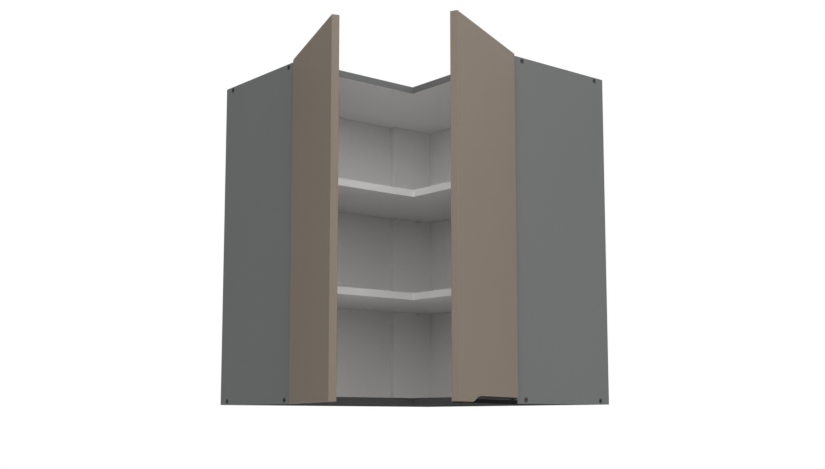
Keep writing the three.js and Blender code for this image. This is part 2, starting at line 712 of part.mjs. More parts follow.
// Two cheeks from the elbow to the cup, with the elbow's pin and a barrel round the cup's pin.
function frontLinkBody() {
  const outline = linkOutline(FRONT_LINK_LENGTH, LINK_HALF_WIDTH);
  const cupEnd = [FRONT_LINK_LENGTH, 0];
  const pinHalf = CHEEK_OUTER - PIN_END_SETBACK;
  return cut(
    join(
      prism(outline, CHEEK_INNER, CHEEK_OUTER),
      prism(outline, -CHEEK_OUTER, -CHEEK_INNER),
      rod(HINGE_PIN_RADIUS, -pinHalf, pinHalf),
      rod(LINK_HALF_WIDTH - SEAT, -pinHalf, pinHalf, cupEnd),
    ),
    rod(HINGE_PIN_BORE_RADIUS, -CHEEK_OUTER - OVERRUN, CHEEK_OUTER + OVERRUN, cupEnd),
  );
}

// In the door's frame: x = hand * (distance from the hinge edge), y = depth into the door.
function cupBody(hand) {
  const shell = turned([
    [0, CUP_DEPTH],
    [CUP_RADIUS, CUP_DEPTH],
    [CUP_RADIUS, 0],
    [CUP_RIM_RADIUS, 0],
    [CUP_RIM_RADIUS, -CUP_FLANGE],
    [CUP_RADIUS - CUP_WALL, -CUP_FLANGE],
    [CUP_RADIUS - CUP_WALL, CUP_DEPTH - CUP_WALL],
    [0, CUP_DEPTH - CUP_WALL],
  ], CUP_SIDES);
  const centre = hand * CUP_CENTRE_EDGE;
  const pivot = hand * CUP_PIVOT_EDGE;
  const wings = block(
    [centre - CUP_WING_HALF_WIDTH, centre + CUP_WING_HALF_WIDTH],
    [-CUP_FLANGE - SEAT, -SEAT],
    [-CUP_WING_HALF_SPAN, CUP_WING_HALF_SPAN],
  );
  const mouth = new THREE.CylinderGeometry(
    CUP_RADIUS - CUP_WALL, CUP_RADIUS - CUP_WALL, 4 * CUP_FLANGE, CUP_SIDES);
  const seated = solid(shell.rotateX(-Math.PI / 2).translate(centre, -SEAT, 0));
  const pinHalf = CUP_RADIUS - CUP_WALL / 2 - SEAT;
  return join(
    seated,
    cut(wings, solid(mouth.translate(centre, 0, 0))),
    rod(HINGE_PIN_RADIUS, -pinHalf, pinHalf, [pivot, CUP_PIVOT_DEPTH]),
  );
}

function addHinge(end, place, pose, doorFrame) {
  const z = HINGE_HEIGHTS[place];
  const name = `${end.side}_${place}_hinge`;
  add(end.frame, `${name}_mounting_plate`, mountingPlateBody(end, pose), STEEL, [0, 0, z]);
  add(end.frame, `${name}_arm`, armBody(end, pose), STEEL, [0, 0, z]);
  const rear = linkFrame(end, pose.armPivot, z, pose.rearAngle);
  const front = linkFrame(end, pose.elbow, z, pose.frontAngle);
  add(rear, `${name}_rear_link`, rearLinkBody(), STEEL);
  add(front, `${name}_front_link`, frontLinkBody(), STEEL);
  add(doorFrame, `${name}_cup`, cupBody(end.hand), STEEL, [0, 0, z]);
}

// ---------------------------------------------------------------- doors

// Side view of the hand recess: full height from the hinge edge, then an S-curve down.
function gripOutline(play) {
  const height = GRIP_CUT_HEIGHT - play;
  const outline = [
    [-OVERRUN, -GRIP_DROP - OVERRUN],
    [-OVERRUN, height],
    [GRIP_CUT_END - play, height],
  ];
  for (let i = 1; i <= GRIP_WAVE_STEPS; i += 1) {
    const share = i / GRIP_WAVE_STEPS;
    const drop = (1 - Math.cos(Math.PI * share)) / 2;
    outline.push([GRIP_CUT_END - play + GRIP_WAVE * share, height * (1 - drop) - drop * play]);
  }
  outline.push([GRIP_CUT_END + GRIP_WAVE + OVERRUN, -GRIP_DROP - OVERRUN]);
  return outline;
}

// An outline in (distance from the hinge edge, z), made solid between two depths of the door.
function acrossDoor(outline, hand, depth0, depth1) {
  const shape = new THREE.Shape(outline.map(([e, z]) => new THREE.Vector2(hand * e, z)));
  const geometry = new THREE.ExtrudeGeometry(shape, { depth: depth1 - depth0, bevelEnabled: false });
  return solid(geometry.rotateX(Math.PI / 2).translate(0, depth1, 0));
}

function doorBody(end) {
  const leaf = block(along(end, 0, end.doorWidth), [0, DOOR_BOARD], [0, DOOR_HEIGHT]);
  const bores = Object.values(HINGE_HEIGHTS).map((z) => {
    const bore = new THREE.CylinderGeometry(
      CUP_BORE_RADIUS, CUP_BORE_RADIUS, CUP_BORE_DEPTH + OVERRUN, CUP_SIDES);
    const middle = (CUP_BORE_DEPTH - OVERRUN) / 2;
    return solid(bore.translate(end.hand * CUP_CENTRE_EDGE, middle, z));
  });
  if (!end.hasGrip) return cut(leaf, ...bores);
  return cut(leaf, ...bores, acrossDoor(gripOutline(0), end.hand, -OVERRUN, DOOR_BOARD + OVERRUN));
}

// A J-shaped strip: a web closing the recess at the back, a foot under the door, a front lip.
// Its end at the hinges is closed, behind the lip's slanting corner.
function gripBody(end) {
  const start = GRIP_PLAY;
  const finishEdge = end.doorWidth - GRIP_END_GAP;
  const web = GRIP_BACK_OFFSET + GRIP_WALL;
  const lipFace = DOOR_BOARD - GRIP_BACK_OFFSET;
  const footTop = -GRIP_PLAY;
  const strip = block(
    along(end, start, finishEdge), [GRIP_BACK_OFFSET, lipFace], [-GRIP_DROP, GRIP_CUT_HEIGHT]);
  const recess = acrossDoor(gripOutline(GRIP_PLAY), end.hand, -OVERRUN, DOOR_BOARD + OVERRUN);
  const foot = block(
    along(end, start, finishEdge), [GRIP_BACK_OFFSET, lipFace], [-GRIP_DROP, footTop]);
  const hollow = block(
    along(end, start + GRIP_WALL, end.doorWidth), [web, lipFace - GRIP_WALL], [footTop, HEIGHT]);
  const aboveLip = block(
    along(end, -OVERRUN, end.doorWidth),
    [lipFace - GRIP_WALL, DOOR_BOARD + OVERRUN],
    [GRIP_LIP_HEIGHT, HEIGHT],
  );
  const lipEnd = acrossDoor(
    [
      [-OVERRUN, -GRIP_DROP - OVERRUN],
      [GRIP_LIP_CHAMFER, -GRIP_DROP - OVERRUN],
      [-OVERRUN, GRIP_LIP_HEIGHT + OVERRUN],
    ],
    end.hand, lipFace - GRIP_WALL, DOOR_BOARD + OVERRUN);
  return join(cut(strip.intersect(recess), hollow, aboveLip, lipEnd), foot.subtract(lipEnd));
}

function addBumpers(end, doorFrame) {
  const e = end.hand * (end.doorWidth - BUMPER_EDGE_OFFSET);
  const places = { upper: SCREW_HEIGHTS.top, lower: SCREW_HEIGHTS.bottom };
  for (const [place, z] of Object.entries(places)) {
    const pad = turned([
      [0, 0],
      [BUMPER_RADIUS, 0],
      [BUMPER_RADIUS, BUMPER_EDGE_HEIGHT],
      [BUMPER_TOP_RADIUS, BUMPER_HEIGHT],
      [0, BUMPER_HEIGHT],
    ]);
    const body = solid(pad.rotateX(Math.PI / 2));
    add(doorFrame, `${end.side}_${place}_bumper`, body, CLEAR_PLASTIC, [e, -BUMPER_GLUE, z]);
  }
}

function addDoor(end) {
  const pose = hingePose(end.doorOpen);
  const [cornerE, cornerY] = pose.doorCorner;
  const corner = [end.hand * cornerE, cornerY, 0];
  const doorFrame = frameAt(end.frame, corner, end.hand * end.doorOpen);
  add(doorFrame, `${end.side}_door`, doorBody(end), BEIGE_BOARD);
  if (end.hasGrip) add(doorFrame, `${end.side}_grip_profile`, gripBody(end), BLACK_METAL);
  addBumpers(end, doorFrame);
  for (const place of Object.keys(HINGE_HEIGHTS)) addHinge(end, place, pose, doorFrame);
}

// ---------------------------------------------------------------- assembly

addTopAndBottom();
addCornerPost();
addBackSheets();
addShelves();
for (const end of ENDS) {
  addEndPanel(end);
  addScrews(end);
  addShelfPins(end);
  addHanger(end);
  addDoor(end);
}

export default cabinet;
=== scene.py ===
"""Looks of the corner wall cabinet: finishes, small fittings, camera, light and floor.

Metres, in the cabinet's own frame: +Z up, the origin in the corner of the room at the height
of the underside, one wing along -Y and the other along +X. Both doors stand open.
"""

import math

import bpy
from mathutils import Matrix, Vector


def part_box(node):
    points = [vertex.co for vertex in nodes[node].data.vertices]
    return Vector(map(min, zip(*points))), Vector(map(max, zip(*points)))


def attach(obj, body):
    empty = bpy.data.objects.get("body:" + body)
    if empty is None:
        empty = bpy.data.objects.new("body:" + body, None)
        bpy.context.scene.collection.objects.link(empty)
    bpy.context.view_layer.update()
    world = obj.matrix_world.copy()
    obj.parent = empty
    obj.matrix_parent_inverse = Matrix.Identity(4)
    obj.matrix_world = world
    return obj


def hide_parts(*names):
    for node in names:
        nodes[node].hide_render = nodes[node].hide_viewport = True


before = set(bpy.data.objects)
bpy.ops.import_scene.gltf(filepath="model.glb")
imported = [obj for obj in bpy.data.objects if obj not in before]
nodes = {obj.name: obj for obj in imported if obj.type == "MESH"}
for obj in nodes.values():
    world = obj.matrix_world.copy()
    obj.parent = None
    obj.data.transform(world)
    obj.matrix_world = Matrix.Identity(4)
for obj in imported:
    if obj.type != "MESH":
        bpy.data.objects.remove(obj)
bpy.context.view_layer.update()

# ---------------------------------------------------------------- driving values

MM = 0.001
X = Vector((1, 0, 0))
Y = Vector((0, 1, 0))
Z = Vector((0, 0, 1))

# Camera: the photograph's, in front of the open corner and just below the underside
CAMERA_PLACE = Vector((2.2610, -1.9333, -0.0316))
CAMERA_HEADING = 50.18  # degrees from +Y towards -X
CAMERA_PITCH = 7.23  # degrees upwards
CAMERA_SENSOR = 36  # mm wide
CAMERA_LENS = 50.86  # mm
CAMERA_SHIFT = 0.045

# Light: the world's brightness is WORLD_EVEN plus the direction's dot product with WORLD_LEAN
WORLD_EVEN = 0.6
WORLD_LEAN = (0.35, 0.0, -0.06)
SOFTBOX_SIZE = 2.4
SOFTBOX_DISTANCE = 3.2
SOFTBOXES = {  # azimuth from +X towards +Y and elevation in degrees, power in watts
    "key": (-39, 22, 62),
    "fill": (148, 18, 34),
    "back": (100, 52, 30),
}
MIDDLE = Vector((0.36, -0.36, 0.36))  # of the cabinet, where the soft lights aim

# Room
FLOOR_DROP = 1.4  # below the cabinet's underside
FLOOR_RADIUS = 26
FLOOR_STEPS = 720
FLOOR_GLOW = 0.38  # added for the camera alone, so that the floor looks pale

# Colours, linear
GREY = (0.131, 0.1365, 0.134)
GREY_EDGE = (0.144, 0.150, 0.147)
ANTHRACITE = (0.059, 0.059, 0.059)
# Painted shade: a darker copy of the anthracite for the bottom panel's underside, where little light
# falls
ANTHRACITE_PAINTED_SHADE_BELOW = (0.034, 0.034, 0.034)
WHITE = (0.82, 0.814, 0.81)
# Painted light: a lighter copy of the white for the top panel's underside, standing in for light
# from below
CEILING_WHITE_PAINTED_LIGHT = (0.895, 0.888, 0.886)
# Painted shade: a darker copy of the white for the lower shelf
LOWER_SHELF_WHITE_PAINTED_SHADE = (0.755, 0.748, 0.748)
SHEET_WHITE = (0.80, 0.795, 0.785)
BEIGE = (0.212, 0.172, 0.137)
BEIGE_EDGE = (0.185, 0.150, 0.119)
BLACK = (0.0085, 0.0085, 0.0088)
# Partly painted light: the dark grey coat inside the grip's recess, made lighter to make up for the
# shade there
WEB_GREY_PAINTED_LIGHT = (0.165, 0.170, 0.173)
# Painted shade: near black in the cuts, such as the back sheets' grooves, the countersinks and the
# doors' grip notch
CUT_PAINTED_SHADE = (0.02, 0.019, 0.018)
CHIP_MIDDLE = (0.50, 0.365, 0.23)
CHIP_RIM = (0.31, 0.205, 0.115)
FIBRE = (0.265, 0.175, 0.107)
NICKEL = (0.72, 0.71, 0.69)
DARK_STEEL = (0.10, 0.10, 0.105)
WHITE_PLASTIC = (0.76, 0.75, 0.73)
CLEAR_PLASTIC = (0.80, 0.82, 0.82)
FLOOR = (0.8, 0.8, 0.8)

# Rounded edges
BOARD_EDGE = 0.3 * MM
DOOR_EDGE = 0.7 * MM
PROFILE_EDGE = 0.3 * MM
STEEL_EDGE = 0.2 * MM
LINK_EDGE = 0.05 * MM
HOUSING_EDGE = 0.6 * MM
PIN_EDGE = 0.3 * MM
EDGE_ANGLE = 40  # degrees; a flatter bend between two faces isn't rounded
SAME_PLANE_ANGLE = 1  # degrees; faces that differ by less are joined
SAME_PLACE = 0.01 * MM  # points nearer than this are joined

# Reading the faces of a node
FLAT = 0.2 * MM  # how near a plane counts as on it
FACING = 0.99  # cosine from which a face counts as facing a direction

# Doors, at rest
RIGHT_DOOR_OPEN = 114  # degrees from closed
LEFT_DOOR_OPEN = 110
GRIP_END_WALL = 5 * MM  # faces this near the grip's hinge end belong to its end wall
CUP_BORE_MARGIN = 1 * MM  # below the lower cup; cuts lower than that belong to the grip

# Hinges and hangers
CUP_CENTRE_EDGE = 22 * MM  # from the door's hinge edge
CUP_SCREW_RISE = 24.5 * MM  # each side of the cup's centre
CUP_SCREW_RADIUS = 3.4 * MM
PLATE_WING = 2.4 * MM  # thickness
PLATE_SEAT = 0.2 * MM  # between the end panel and the plate
PLATE_SCREW_SETBACK = 37 * MM  # behind the carcass front
PLATE_SCREW_RISE = 16 * MM  # each side of the arm
PLATE_SCREW_RADIUS = 3.4 * MM
ARM_SCREW_SETBACKS = (24 * MM, 45 * MM)
ARM_SCREW_RADIUS = 2.7 * MM
HANGER_SCREW_RISE = 10 * MM  # each side of the housing's middle
HANGER_SCREW_RADIUS = 2.9 * MM
HANGER_SCREW_SINK = 0.1 * MM  # into the housing's front

# Screws
SCREW_SIDES = 24
SCREW_CREASE = 35  # degrees from which an edge of a screw stays sharp
SCREW_SHANK_RADIUS = 3.2 * MM
SCREW_THREAD_START = 0.1 * MM  # past the neck
SCREW_THREAD_PITCH = 3 * MM
SCREW_THREAD_DEPTH = 0.8 * MM
SCREW_THREAD_STEPS = 4  # rings to a turn of the thread
CROSS_HALF_WIDTH = 0.3  # of a cross recess's arm, where the arm's length is 1
ALMOST_NOTHING = 1e-9  # keeps a division from failing


# ---------------------------------------------------------------- shader helpers


class Shader:
    """A material under construction: its node tree, its coordinates and its surface shader."""

    def __init__(self, name):
        self.material = bpy.data.materials.new(name)
        self.material.use_nodes = True
        self.tree = self.material.node_tree
        self.surface = self.tree.nodes["Principled BSDF"]
        self.place = self.tree.nodes.new("ShaderNodeTexCoord").outputs["Object"]

    def add(self, kind, **settings):
        node = self.tree.nodes.new(kind)
        for name, value in settings.items():
            setattr(node, name, value)
        return node

    def link(self, source, target):
        self.tree.links.new(source, target)

    def stretched(self, scale):
        """The coordinates times a scale of their own along each axis."""
        node = self.add("ShaderNodeVectorMath", operation="MULTIPLY")
        self.link(self.place, node.inputs[0])
        node.inputs[1].default_value = scale
        return node.outputs[0]

    def noise(self, scale, detail=2.0, roughness=0.5, place=None):
        node = self.add("ShaderNodeTexNoise")
        self.link(place or self.place, node.inputs["Vector"])
        node.inputs["Scale"].default_value = scale
        node.inputs["Detail"].default_value = detail
        node.inputs["Roughness"].default_value = roughness
        return node.outputs["Fac"]

    def cells(self, scale, place=None):
        """Distance from the nearest of a scatter of points."""
        node = self.add("ShaderNodeTexVoronoi")
        self.link(place or self.place, node.inputs["Vector"])
        node.inputs["Scale"].default_value = scale
        return node.outputs["Distance"]

    def ranged(self, value, low, high, from_low=0.3, from_high=0.7):
        node = self.add("ShaderNodeMapRange")
        self.link(value, node.inputs["Value"])
        node.inputs["From Min"].default_value = from_low
        node.inputs["From Max"].default_value = from_high
        node.inputs["To Min"].default_value = low
        node.inputs["To Max"].default_value = high
        return node.outputs["Result"]

    def times(self, first, second):
        node = self.add("ShaderNodeMath", operation="MULTIPLY")
        self.link(first, node.inputs[0])
        self.link(second, node.inputs[1])
        return node.outputs[0]

    def mixed(self, share, first, second):
        """One colour into another, by a share from 0 to 1."""
        node = self.add("ShaderNodeMix", data_type="RGBA")
        self.link(share, node.inputs["Factor"])
        node.inputs["A"].default_value = (*first, 1)
        node.inputs["B"].default_value = (*second, 1)
        return node.outputs["Result"]

    def shaded(self, colour, *factors):
        """A colour times one or more brightness factors."""
        factor = factors[0]
        for other in factors[1:]:
            factor = self.times(factor, other)
        node = self.add("ShaderNodeVectorMath", operation="SCALE")
        if isinstance(colour, tuple):
            node.inputs[0].default_value = colour
        else:
            self.link(colour, node.inputs[0])
        self.link(factor, node.inputs["Scale"])
        return node.outputs[0]

    def bump(self, height, distance, strength=1.0):
        node = self.add("ShaderNodeBump")
        self.link(height, node.inputs["Height"])
        node.inputs["Distance"].default_value = distance
        node.inputs["Strength"].default_value = strength
        self.link(node.outputs["Normal"], self.surface.inputs["Normal"])

    def colour(self, source):
        self.link(source, self.surface.inputs["Base Color"])

    def roughness(self, source):
        if isinstance(source, (int, float)):
            self.surface.inputs["Roughness"].default_value = source
        else:
            self.link(source, self.surface.inputs["Roughness"])

    def set(self, socket, value):
        self.surface.inputs[socket].default_value = value


# ---------------------------------------------------------------- finishes


def melamine(name, colour, roughness, pearl=0.03, gloss=0.3):
    """Pressed melamine: a fine pearl grain, slow drifts of tone and faint handling marks."""
    shader = Shader(name)
    drift = shader.ranged(shader.noise(2.6, 2), 0.985, 1.015)
    grain = shader.ranged(shader.noise(950, 3, 0.6), 1 - pearl, 1 + pearl)
    shader.colour(shader.shaded(colour, drift, grain))
    marks = shader.noise(9, 4, 0.65)
    shader.roughness(shader.ranged(marks, roughness - 0.02, roughness + 0.03))
    shader.bump(shader.noise(620, 3, 0.55), 0.06 * MM, 0.35)
    shader.set("Specular IOR Level", gloss)
    return shader.material


def chipboard(name):
    """The sawn core of a board: pressed chips, lighter in the middle of each than at its rim."""
    shader = Shader(name)
    chips = shader.cells(330, shader.stretched((1, 1, 1.8)))
    tone = shader.mixed(shader.ranged(chips, 0, 1, 0, 0.75), CHIP_MIDDLE, CHIP_RIM)
    dust = shader.ranged(shader.noise(210, 5, 0.7), 0.75, 1.2)
    shader.colour(shader.shaded(tone, dust))
    shader.roughness(0.9)
    shader.bump(shader.noise(420, 4, 0.7), 0.4 * MM, 0.8)
    return shader.material


def hardboard(name):
    """The bare rear of a thin back sheet: brown pressed fibre with a screen pattern."""
    shader = Shader(name)
    fibre = shader.ranged(shader.noise(300, 5, 0.7), 0.82, 1.16)
    cloud = shader.ranged(shader.noise(7, 3), 0.94, 1.06)
    shader.colour(shader.shaded(FIBRE, fibre, cloud))
    shader.roughness(0.85)
    shader.bump(shader.cells(420), 0.25 * MM, 0.6)
    return shader.material


def plated_steel(name, colour, roughness):
    """Pressed and plated steel: a satin grain too fine to see apart, and a slight clouding."""
    shader = Shader(name)
    cloud = shader.noise(35, 3, 0.6)
    grain = shader.noise(1600, 3, 0.6)
    tones = shader.ranged(cloud, 0.98, 1.02), shader.ranged(grain, 0.97, 1.03)
    shader.colour(shader.shaded(colour, *tones))
    shader.roughness(shader.ranged(cloud, roughness - 0.03, roughness + 0.04))
    shader.bump(grain, 0.008 * MM, 0.25)
    shader.set("Metallic", 1.0)
    return shader.material


def coated_metal(name, colour, roughness, gloss):
    """A coat with a slight orange peel."""
    shader = Shader(name)
    drift = shader.ranged(shader.noise(14, 3), 0.88, 1.12)
    shader.colour(shader.shaded(colour, drift))
    shader.roughness(shader.ranged(shader.noise(70, 4, 0.6), roughness - 0.06, roughness + 0.08))
    shader.bump(shader.noise(480, 2), 0.05 * MM, 0.5)
    shader.set("Specular IOR Level", gloss)
    return shader.material


def moulded_plastic(name, colour, roughness, clear=0.0):
    """Injection-moulded plastic with a fine spark-eroded grain."""
    shader = Shader(name)
    shader.colour(shader.shaded(colour, shader.ranged(shader.noise(40, 3), 0.96, 1.03)))
    shader.roughness(shader.ranged(shader.noise(90, 3), roughness - 0.05, roughness + 0.08))
    shader.bump(shader.noise(900, 2), 0.04 * MM, 0.5)
    shader.set("Transmission Weight", clear)
    return shader.material


FINISHES = {
    "grey": melamine("grey_melamine", GREY, 0.5),
    "grey_edge": melamine("grey_edge_band", GREY_EDGE, 0.5, 0.02),
    "anthracite": melamine("anthracite_melamine", ANTHRACITE, 0.55),
    # painted shade: the bottom panel's underside in a darker copy of the anthracite
    "underside": melamine("anthracite_melamine_painted_shade_below", ANTHRACITE_PAINTED_SHADE_BELOW, 0.75, gloss=0.02),
    "white": melamine("white_melamine", WHITE, 0.5, 0.012),
    # painted light: the top panel's underside in a lighter copy of the white
    "ceiling_white": melamine("white_melamine_ceiling_painted_light", CEILING_WHITE_PAINTED_LIGHT, 0.5, 0.012),
    # painted shade: the lower shelf in a darker copy of the white
    "lower_white": melamine("white_melamine_lower_shelf_painted_shade", LOWER_SHELF_WHITE_PAINTED_SHADE, 0.5, 0.012),
    "sheet": melamine("white_lacquered_sheet", SHEET_WHITE, 0.55, 0.015),
    "beige": melamine("beige_supermatt", BEIGE, 0.6, 0.012),
    "beige_edge": melamine("beige_edge_band", BEIGE_EDGE, 0.6, 0.012),
    "core": chipboard("chipboard_core"),
    # painted shade: the near-black finish of the cuts
    "stain": melamine("painted_shade_in_cuts", CUT_PAINTED_SHADE, 0.8, 0.1),
    "hardboard": hardboard("hardboard_rear"),
    "black": coated_metal("black_coated_metal", BLACK, 0.5, 0.01),
    # partly painted light: the recess's dark grey coat, lightened against its shade
    "dark_grey": coated_metal("grey_coated_metal_painted_light", WEB_GREY_PAINTED_LIGHT, 0.5, 0.2),
    "nickel": plated_steel("nickel_plated_steel", NICKEL, 0.28),
    "dark_steel": plated_steel("dark_plated_steel", DARK_STEEL, 0.42),
    "white_plastic": moulded_plastic("white_moulded_plastic", WHITE_PLASTIC, 0.42),
    "clear_plastic": moulded_plastic("clear_soft_plastic", CLEAR_PLASTIC, 0.3, 0.6),
}


# ---------------------------------------------------------------- directions and places


def turned(direction, degrees):
    """A level direction, turned about the vertical."""
    turn = math.radians(degrees)
    return Vector((direction.x * math.cos(turn) - direction.y * math.sin(turn),
                   direction.x * math.sin(turn) + direction.y * math.cos(turn), 0))


def reach(node, direction):
    """The lowest and highest place of a node along a direction."""
    places = [vertex.co.dot(direction) for vertex in nodes[node].data.vertices]
    return min(places), max(places)


ENDS = {"right": (-X, -Y), "left": (Y, X)}  # into the cabinet, and out of its front
ROOM_AXES = {"x": X, "y": Y, "z": Z}
DOOR_AXES = {  # along from the hinges, out of the front face, and up
    "right": {"along": turned(-X, RIGHT_DOOR_OPEN), "out": turned(-Y, RIGHT_DOOR_OPEN), "z": Z},
    "left": {"along": turned(Y, -LEFT_DOOR_OPEN), "out": turned(X, -LEFT_DOOR_OPEN), "z": Z},
}
CARCASS_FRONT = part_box("left_end_panel")[1].x
CUP_BORES_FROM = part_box("right_lower_hinge_cup")[0].z - CUP_BORE_MARGIN
GRIP_HINGE_END = reach("right_grip_profile", DOOR_AXES["right"]["along"])[0]


# ---------------------------------------------------------------- finish on each face


def sides_of(node, axes):
    """For each face of a board, the side that it lies on, such as "+x", or "cut"."""
    limits = {name: reach(node, direction) for name, direction in axes.items()}
    sides = []
    for face in nodes[node].data.polygons:
        side = "cut"
        for name, direction in axes.items():
            low, high = limits[name]
            place, facing = face.center.dot(direction), face.normal.dot(direction)
            if facing > FACING and high - place < FLAT:
                side = "+" + name
            elif facing < -FACING and place - low < FLAT:
                side = "-" + name
        sides.append(side)
    return sides


def paint(node, finishes):
    """Gives each face of a node its finish, named by a list as long as its faces."""
    mesh = nodes[node].data
    mesh.materials.clear()
    used = sorted(set(finishes))
    for finish in used:
        mesh.materials.append(FINISHES[finish])
    for face, finish in zip(mesh.polygons, finishes):
        face.material_index = used.index(finish)


def paint_board(node, axes, finish_of_side, in_cuts="core"):
    """A finish on each named side, and in_cuts on sides that aren't named and in cuts."""
    paint(node, [finish_of_side.get(side, in_cuts) for side in sides_of(node, axes)])


def cover(node, finish):
    """One finish all over."""
    paint(node, [finish] * len(nodes[node].data.polygons))


def soften(node, radius, segments=2, band=None, keep_triangles=False):
    """Small rounded edges, as banded and pressed edges have; band is a finish of their own.

    Faces in one plane are joined first, except where keep_triangles asks for them as they are.
    """
    piece = nodes[node]
    weld = piece.modifiers.new("weld", "WELD")
    weld.merge_threshold = SAME_PLACE
    if not keep_triangles:
        flat = piece.modifiers.new("flat", "DECIMATE")
        flat.decimate_type = "DISSOLVE"
        flat.angle_limit = math.radians(SAME_PLANE_ANGLE)
        flat.delimit = {"MATERIAL"}
    bevel = piece.modifiers.new("edges", "BEVEL")
    bevel.width = radius
    bevel.segments = segments
    bevel.limit_method = "ANGLE"
    bevel.angle_limit = math.radians(EDGE_ANGLE)
    if band:
        piece.data.materials.append(FINISHES[band])
        bevel.material = len(piece.data.materials) - 1


# ---------------------------------------------------------------- pieces of the frame


def paint_l_board(node, outer_edge, above, below):
    """A top or bottom panel, whose front edges meet in the inner corner of the L."""
    sides = sides_of(node, ROOM_AXES)
    finishes = []
    for face, side in zip(nodes[node].data.polygons, sides):
        left_front = face.normal.x > FACING and abs(face.center.x - CARCASS_FRONT) < FLAT
        right_front = face.normal.y < -FACING and abs(face.center.y + CARCASS_FRONT) < FLAT
        if side == "+z":
            finishes.append(above)
        elif side == "-z":
            finishes.append(below)
        else:
            finishes.append(outer_edge if left_front or right_front else "core")
    paint(node, finishes)


def dress_carcass():
    # Painted light: the top panel's underside gets a lighter copy of the white
    paint_l_board("top_panel", "grey_edge", "grey", "ceiling_white")
    # Painted shade: the bottom panel's underside gets a darker copy of its anthracite
    paint_l_board("bottom_panel", "anthracite", "white", "underside")
    # The end panels' cuts, such as grooves and countersinks, are near black as painted shade
    banded = {"+z": "grey_edge", "-z": "grey_edge", "cut": "stain"}
    paint_board("right_end_panel", ROOM_AXES, {
        "+x": "grey", "-x": "white", "-y": "grey_edge", **banded})
    paint_board("left_end_panel", ROOM_AXES, {
        "-y": "grey", "+y": "white", "+x": "grey_edge", **banded})
    paint_board("corner_post", ROOM_AXES, {"+x": "white", "-y": "white"})
    paint_board("left_back_sheet", ROOM_AXES, {"+x": "sheet"}, "hardboard")
    paint_board("right_back_sheet", ROOM_AXES, {"-y": "sheet"}, "hardboard")
    # Painted shade: the lower shelf gets a darker copy of the upper shelf's white
    for shelf, finish in {"lower_shelf": "lower_white", "upper_shelf": "white"}.items():
        cover(shelf, finish)
        soften(shelf, BOARD_EDGE)
    for board in ("top_panel", "left_end_panel", "right_end_panel"):
        soften(board, BOARD_EDGE, band="grey_edge")
    soften("bottom_panel", BOARD_EDGE, band="anthracite")
    soften("corner_post", BOARD_EDGE, band="white")


def dress_doors():
    finish_of_side = {"+out": "beige", "-out": "beige"}
    for end in ("+along", "-along", "+z", "-z"):
        finish_of_side[end] = "beige_edge"
    for side, axes in DOOR_AXES.items():
        door = f"{side}_door"
        finishes = [finish_of_side.get(name) for name in sides_of(door, axes)]
        for index, face in enumerate(nodes[door].data.polygons):
            if finishes[index] is None:
                # Cup bores show the chipboard core; lower cuts, in the grip notch, are near black as
                # painted shade
                in_cup_bore = face.center.z > CUP_BORES_FROM
                finishes[index] = "core" if in_cup_bore else "stain"
        paint(door, finishes)
        soften(door, DOOR_EDGE, 3)


def dress_grip():
    """The black grip profile and, inside the recess behind its lip, a dark grey coat painted
    lighter, as painted light against the recess's shade.
    """
    grip = "right_grip_profile"
    along, out = DOOR_AXES["right"]["along"], DOOR_AXES["right"]["out"]
    behind_lip = sum(reach(grip, out)) / 2
    finishes = []
    for face in nodes[grip].data.polygons:
        on_web = face.center.dot(out) < behind_lip and face.normal.dot(out) > FACING
        from_hinge_end = face.center.dot(along) - GRIP_HINGE_END
        in_end = face.normal.dot(along) > FACING and from_hinge_end < GRIP_END_WALL
        # The web and end wall in the recess get the grey lightened as painted light
        finishes.append("dark_grey" if on_web or in_end else "black")
    paint(grip, finishes)
    soften(grip, PROFILE_EDGE)


def dress_fittings():
    for name in nodes:
        if "_hinge_" in name:
            cover(name, "nickel")
            radius = LINK_EDGE if name.endswith("_front_link") else STEEL_EDGE
            soften(name, radius, keep_triangles=True)
        elif name.endswith("_hook"):
            cover(name, "nickel")
            soften(name, STEEL_EDGE)
        elif name.endswith("_housing"):
            cover(name, "white_plastic")
            soften(name, HOUSING_EDGE, 3)
        elif name.endswith("_pin"):
            cover(name, "white_plastic")
            soften(name, PIN_EDGE)
        elif name.endswith("_bumper"):
            cover(name, "clear_plastic")


# ---------------------------------------------------------------- screws


# A screw is a list of rings (depth, radius, outline), from the bottom of its recess, over its
# head and down to its tip. An outline gives the distance from the axis at an angle, as a share
# of the radius.


def round_outline(angle):
    return 1.0


def hexagon_outline(angle):
    """Distance to the side of a hexagon whose corners lie at 1."""
    corner = math.pi / 3
    return math.cos(corner / 2) / math.cos(angle % corner - corner / 2)


def cross_outline(angle):
    """Distance to the side of an upright cross with arms of length 1."""
    across = max(abs(math.cos(angle)), ALMOST_NOTHING)
    along = max(abs(math.sin(angle)), ALMOST_NOTHING)
    level_arm = min(1 / across, CROSS_HALF_WIDTH / along)
    upright_arm = min(1 / along, CROSS_HALF_WIDTH / across)
    return max(level_arm, upright_arm)


def connecting_screw_rings():
    """A flat countersunk head with a hexagon socket, a plain neck and a coarse thread."""
    rings = [
        (1.8, 0.2, hexagon_outline), (1.8, 2.3, hexagon_outline), (0.25, 2.3, hexagon_outline),
        (0.0, 2.6, hexagon_outline), (0.0, 4.65, round_outline), (0.12, 4.9, round_outline),
        (0.4, 5.0, round_outline), (1.1, 5.0, round_outline), (2.7, 3.3, round_outline),
        (9.0, 3.2, round_outline),
    ]
    return [(depth * MM, radius * MM, outline) for depth, radius, outline in rings]


